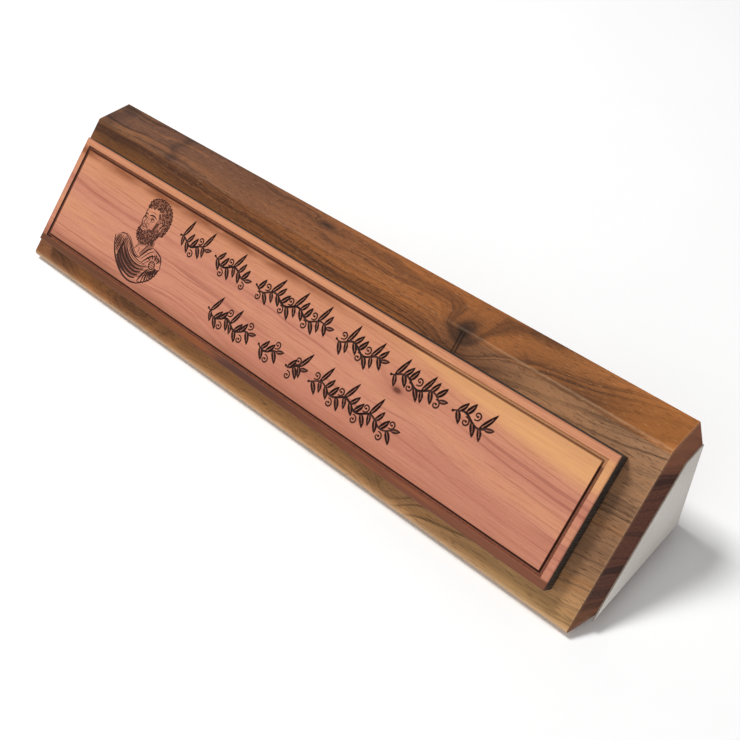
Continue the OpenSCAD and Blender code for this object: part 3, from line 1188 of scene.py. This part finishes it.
def cedar(name, scorch=0.0):
    f = Finish(name)
    across, up, lift = plate_measures(f)
    flat = f.join(across, up, 0.0)
    slow = f.noise(flat, (0.010, 0.035, 1), detail=2, seed=11)
    waver = f.noise(flat, (0.030, 0.10, 1), detail=3, seed=12)
    knot = f.hill(across, up, SMALL_KNOT, (7.0, 3.2))
    tail = f.hill(across, up, (SMALL_KNOT[0] + 16, SMALL_KNOT[1] - 3), (22.0, 5.0))
    swirl = f.hill(across, up, SWIRL, (17.0, 7.5))

    # The landscape whose level lines are the growth lines, falling to the right
    land = f.plus(up, f.times(across, 0.030))
    steeper = f.times(f.step(across, 110, 230), f.times(f.minus(across, 110.0), 0.03))
    land = f.plus(land, steeper)
    for share, height in ((slow, 11.0), (waver, 2.2), (knot, 4.0), (tail, -3.0), (swirl, -9.0)):
        land = f.plus(land, f.times(share, height))

    uneven = f.noise(f.join(across, land, 0.0), (0.004, 0.22, 1), detail=2, seed=13)
    year = f.math("FRACT", f.plus(f.over(land, 3.4), f.times(uneven, 2.6)))
    line = f.times(f.step(year, 0.70, 0.94), f.step(year, 1.0, 0.96))
    strong = f.noise(flat, (0.016, 0.10, 1), detail=2, seed=14)
    line = f.times(line, f.step(strong, 0.40, 0.62, 0.12, 0.85))
    broad = f.noise(f.join(across, land, 0.0), (0.006, 0.11, 1), detail=3, seed=15)
    fibres = f.noise(flat, (0.08, 2.2, 1), detail=5, roughness=0.7, seed=16)
    flecks = f.noise(flat, (0.9, 4.0, 1), detail=3, roughness=0.6, seed=17)

    colour = f.ramp(
        broad, (0.32, 191, 123, 99), (0.46, 201, 135, 109), (0.56, 206, 141, 108),
        (0.70, 212, 148, 110),
    )
    blush = f.noise(flat, (0.018, 0.05, 1), detail=3, seed=18)
    colour = f.coats(
        colour, (blush, 0.44, 0.68, 0.6, 188, 121, 100), (up, 24, 37, 0.7, 208, 143, 102),
    )
    colour = f.coat(colour, f.times(line, f.step(up, 34, 24, 0.25, 0.68)), 144, 78, 64)
    colour = f.coats(
        colour, (fibres, 0.47, 0.72, 0.55, 164, 94, 72), (fibres, 0.42, 0.22, 0.34, 238, 182, 146),
        (flecks, 0.58, 0.70, 0.35, 146, 84, 64),
    )

    # Sapwood: a yellow wedge that widens towards the upper right corner
    edge = f.plus(f.step(across, 120, 235, 40.5, 31.0), f.times(waver, -3.0))
    sap = f.times(f.step(f.minus(up, edge), -2.2, 2.6), f.step(across, 138, 178))
    sap = f.times(sap, f.step(fibres, 0.25, 0.6, 1.0, 0.72))
    sap = f.times(sap, f.step(up, plate_width - 2.0, plate_width - 3.2))
    colour = f.coat(colour, f.times(sap, 0.8), 226, 168, 110)

    # The small knot, and a dark strip below the lower border line
    eye = f.hill(across, up, SMALL_KNOT, (1.5, 0.8))
    colour = f.coat(colour, f.times(eye, 1.6, clamp=True), 62, 30, 22)
    colour = f.coat(colour, f.times(knot, 0.35), 160, 92, 68)
    strip = f.step(up, 2.9, 2.2)
    ripple = f.noise(flat, (0.03, 0.6, 1), detail=4, warp=0.5, seed=19)
    along = f.plus(f.step(across, 0, plate_length), f.step(ripple, 0.3, 0.7, -0.07, 0.07))
    strip_colour = f.ramp(
        along, (0.04, 90, 53, 30), (0.20, 108, 62, 28), (0.32, 132, 72, 34),
        (0.43, 66, 42, 37), (0.56, 78, 42, 28), (0.70, 103, 55, 34), (0.95, 113, 65, 44),
    )
    strip_colour = f.coats(
        strip_colour, (ripple, 0.50, 0.68, 0.4, 58, 34, 24), (ripple, 0.44, 0.28, 0.4, 158, 92, 48),
    )
    colour = f.mix(f.times(strip, 0.92), colour, strip_colour)

    # Scorched wood: a brown breath along the upper border, and the border itself
    smoke = f.noise(flat, (0.05, 0.25, 1), detail=3, seed=20)
    breath = f.hill(up, 0.0, (plate_width - BORDER - 2.2, 0.0), (1.9, 1.0))
    breath = f.times(breath, f.step(across, 165, 95, 0.15, 1.0))
    colour = f.coat(colour, f.times(breath, f.step(smoke, 0.28, 0.56, 0.2, 0.9)), 134, 74, 42)
    low_breath = f.times(f.step(up, 8.5, 4.0), f.step(across, 225, 60, 0.12, 0.62))
    low_breath = f.times(low_breath, f.step(up, 2.2, 2.9))
    colour = f.coat(colour, f.times(low_breath, f.step(smoke, 0.25, 0.6, 0.5, 1.0)), 140, 84, 58)
    inset = nearest_edge(f, across, up)
    band = f.times(f.step(inset, BORDER + 0.02, BORDER + 0.16), f.step(inset, BORDER + 1.6, BORDER + 1.44))
    grain = f.noise(flat, (1.6, 1.6, 1), detail=3, seed=21)
    band_colour = f.mix(f.step(grain, 0.35, 0.65), paint(92, 48, 30), paint(120, 66, 42))
    pale = f.times(f.step(up, plate_width - 6.0, plate_width - 4.5), f.step(across, 145, 185))
    colour = f.mix(f.times(band, f.step(pale, 0.0, 1.0, 0.88, 0.46)), colour, band_colour)
    groove = f.times(f.step(lift, -0.34, -0.42), 0.92)
    wall = f.times(f.step(inset, BORDER + 0.9, BORDER + 1.02), f.step(inset, BORDER + 1.5, BORDER + 1.38))
    deep = f.most(groove, f.times(wall, 0.85))
    left_side = f.step(across, 5.5, 4.5)
    outer_wall = f.times(left_side, f.step(inset, BORDER + 0.75, BORDER + 0.5))
    outer_wall = f.times(outer_wall, f.step(inset, BORDER - 0.02, BORDER + 0.06))
    deep = f.most(f.times(deep, f.step(left_side, 0.0, 1.0, 1.0, 0.45)), outer_wall)
    deep = f.times(deep, f.step(up, plate_width - 5.0, plate_width - 4.0, 1.0, 0.72))
    deep = f.times(deep, f.step(pale, 0.0, 1.0, 1.0, 0.7))
    colour = f.coat(colour, deep, 56, 29, 22)
    rim = f.step(inset, 0.7, 0.1, 0.0, 0.4)
    colour = f.coat(colour, rim, 120, 70, 48)
    if scorch:
        colour = f.coat(colour, f.step(flecks, 0.3, 0.7, scorch * 0.7, scorch), 92, 46, 33)

    rough = f.step(fibres, 0.2, 0.8, 0.42, 0.56)
    relief = f.minus(f.times(fibres, 0.7), f.times(line, 0.3))
    return f.surface(colour, rough, relief, 0.05, gloss=0.25)


red_cedar = cedar("red cedar")
scorched_cedar = cedar("scorched cedar", scorch=0.72)
print("red cedar:", len(red_cedar.node_tree.nodes), "shader nodes")


# %% Charred cuts and the laser-cut edge
def charred_cuts():
    f = Finish("charred cuts")
    across, up, lift = plate_measures(f)
    soot = f.noise(f.join(across, up, lift), (3.0, 3.0, 3.0), detail=4, roughness=0.65, seed=22)
    colour = f.ramp(
        f.step(lift, 0.0, -0.5), (0.0, 84, 44, 32), (0.3, 64, 32, 24), (0.8, 42, 21, 17),
    )
    colour = f.coats(
        colour, (soot, 0.52, 0.75, 0.45, 132, 78, 56), (soot, 0.45, 0.25, 0.5, 30, 15, 12),
    )
    return f.surface(colour, f.step(soot, 0.3, 0.7, 0.62, 0.85), soot, 0.12, gloss=0.3)


def laser_cut_edge():
    """Cedar burnt black, with fine upright lines where the beam stepped along."""
    f = Finish("laser cut edge")
    across, up, lift = plate_measures(f)
    round_it = f.plus(across, up)
    steps = f.noise(f.join(round_it, lift, 0.0), (3.2, 0.12, 1), detail=3, seed=23)
    soot = f.noise(f.join(round_it, lift, 0.0), (0.5, 0.9, 1), detail=4, seed=24)
    colour = f.ramp(steps, (0.35, 28, 26, 25), (0.5, 43, 41, 39), (0.66, 66, 61, 56))
    colour = f.coats(
        colour, (soot, 0.55, 0.78, 0.35, 88, 66, 52), (lift, -0.6, -0.05, 0.55, 110, 66, 46),
    )
    return f.surface(colour, f.step(steps, 0.3, 0.7, 0.7, 0.5), steps, 0.15, gloss=0.4)


for material in (red_cedar, charred_cuts(), laser_cut_edge(), scorched_cedar):
    plate.data.materials.append(material)
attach(plate, "root")
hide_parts("cedar_plate")
print("plate finishes:", [material.name for material in plate.data.materials])

# %% [markdown]
# Each end of the block is covered by a thin pale sheet, cut to the end's
# shape. It is card: matt, a little warm, with a faint felted tooth. The CAD
# pieces already have the right shape, so they only get a finish.

# %% Pale card on the ends
def pale_card():
    f = Finish("pale card")
    fibres = f.noise(f.place, (1.8, 1.8, 1.8), detail=5, roughness=0.7, seed=31)
    clouds = f.noise(f.place, (0.05, 0.05, 0.05), detail=3, seed=32)
    specks = f.step(f.noise(f.place, (1.1, 1.1, 1.1), detail=2, seed=33), 0.68, 0.74)
    colour = f.mix(f.step(clouds, 0.3, 0.7), paint(218, 211, 203), paint(230, 224, 217))
    colour = f.coat(colour, f.step(fibres, 0.35, 0.7, 0.0, 0.35), 202, 195, 187)
    colour = f.coat(colour, f.times(specks, 0.3), 176, 164, 150)
    # Painted shade: the card's thin edges are painted dark, so that where they face up into the light they
    # do not shine white
    card_edges_painted_shade = f.step(f.facing_along(), 0.6, 0.4)
    painted_shade_colour = f.mix(f.step(fibres, 0.3, 0.7), paint(104, 92, 82), paint(132, 119, 106))
    colour = f.mix(card_edges_painted_shade, colour, painted_shade_colour)
    return f.surface(colour, f.step(fibres, 0.2, 0.8, 0.7, 0.85), fibres, 0.05, gloss=0.3)


def finish_cad_node(name, material):
    """Gives a CAD piece whose shape is right a finish of its own."""
    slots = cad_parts[name].data.materials
    slots.clear()
    slots.append(material)


card = pale_card()
for side in ("left", "right"):
    finish_cad_node("end_cover_" + side, card)
print("card covers:", round((card_high.z - card_low.z) / MM, 1), "mm high")

# %% [markdown]
# Two strips of thin double-sided tape hold the plate. They hide between the
# plate and the block, and their edges show only from very near: cloudy film
# with a fine weave of glue.

# %% Double-sided tape
def cloudy_tape():
    f = Finish("double-sided tape")
    weave = f.noise(f.place, (0.6, 2.5, 2.5), detail=3, seed=35)
    bubbles = f.step(f.noise(f.place, (0.9, 0.9, 0.9), detail=2, seed=36), 0.6, 0.7)
    colour = f.mix(f.step(weave, 0.3, 0.7), paint(196, 184, 152), paint(222, 214, 190))
    colour = f.coat(colour, f.times(bubbles, 0.4), 238, 232, 216)
    return f.surface(colour, f.step(weave, 0.3, 0.7, 0.3, 0.5), weave, 0.02, gloss=0.5)


tape = cloudy_tape()
for strip in ("upper", "lower"):
    finish_cad_node("tape_strip_" + strip, tape)
print("tape strips finished in", tape.name)

# %% [markdown]
# Four round felt pads keep the block off the desk. Felt pressed by the weight
# of the block bulges a little between its two flat faces. A profile turned
# round an axis gives that shape, with its rim eased and slightly ragged.

# %% Felt pads
PAD_SIDES = 48
PAD_RISE = 8
BULGE = 0.22 * MM     # how far the rim stands out past the flat faces
RAGGED = 0.07 * MM    # how far the rim falls short here and there


def felt_pad(name, low, high, seed):
    """A disc with a bulging rim, turned round the middle of its CAD box."""
    chance = random.Random(seed)
    middle = (low + high) / 2
    radius = (high.x - low.x) / 2
    thick = high.z - low.z
    ragged = [chance.uniform(-RAGGED, 0.0) for _ in range(PAD_SIDES)]
    shape = bmesh.new()
    rings = []
    for level in range(PAD_RISE + 1):
        lean = math.pi * (level / PAD_RISE - 0.5)
        reach = radius - BULGE * (1 - math.cos(lean) ** 0.6)
        z = middle.z + thick / 2 * math.sin(lean)
        ring = []
        for k in range(PAD_SIDES):
            turn = 2 * math.pi * k / PAD_SIDES
            r = reach + ragged[(k + 3 * level) % PAD_SIDES] * math.cos(lean)
            ring.append(shape.verts.new((middle.x + r * math.cos(turn), middle.y + r * math.sin(turn), z)))
        rings.append(ring)
    for lower, upper in zip(rings, rings[1:]):
        for k in range(PAD_SIDES):
            nxt = (k + 1) % PAD_SIDES
            shape.faces.new([lower[k], lower[nxt], upper[nxt], upper[k]])
    shape.faces.new(rings[0][::-1])
    shape.faces.new(rings[-1])
    mesh = mesh_from(shape, name)
    mesh.shade_smooth()
    return add_object(name, mesh)


def grey_felt():
    f = Finish("pressed felt")
    hairs = f.noise(f.place, (5, 5, 9), detail=5, roughness=0.75, warp=1.2, seed=41)
    clumps = f.noise(f.place, (0.9, 0.9, 0.9), detail=3, seed=42)
    colour = f.mix(f.step(clumps, 0.3, 0.7), paint(58, 50, 44), paint(82, 72, 64))
    colour = f.coat(colour, f.step(hairs, 0.52, 0.72, 0.0, 0.6), 128, 116, 104)
    return f.surface(colour, 0.95, hairs, 0.15, gloss=0.15, sheen=0.25)


felt = grey_felt()
pad_names = sorted(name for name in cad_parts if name.startswith("base_pad"))
for seed, name in enumerate(pad_names):
    pad = felt_pad(name.replace("base_pad", "felt_pad"), *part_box(name), seed)
    pad.data.materials.append(felt)
    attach(pad, "root")
    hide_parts(name)
print("pads:", pad_names)
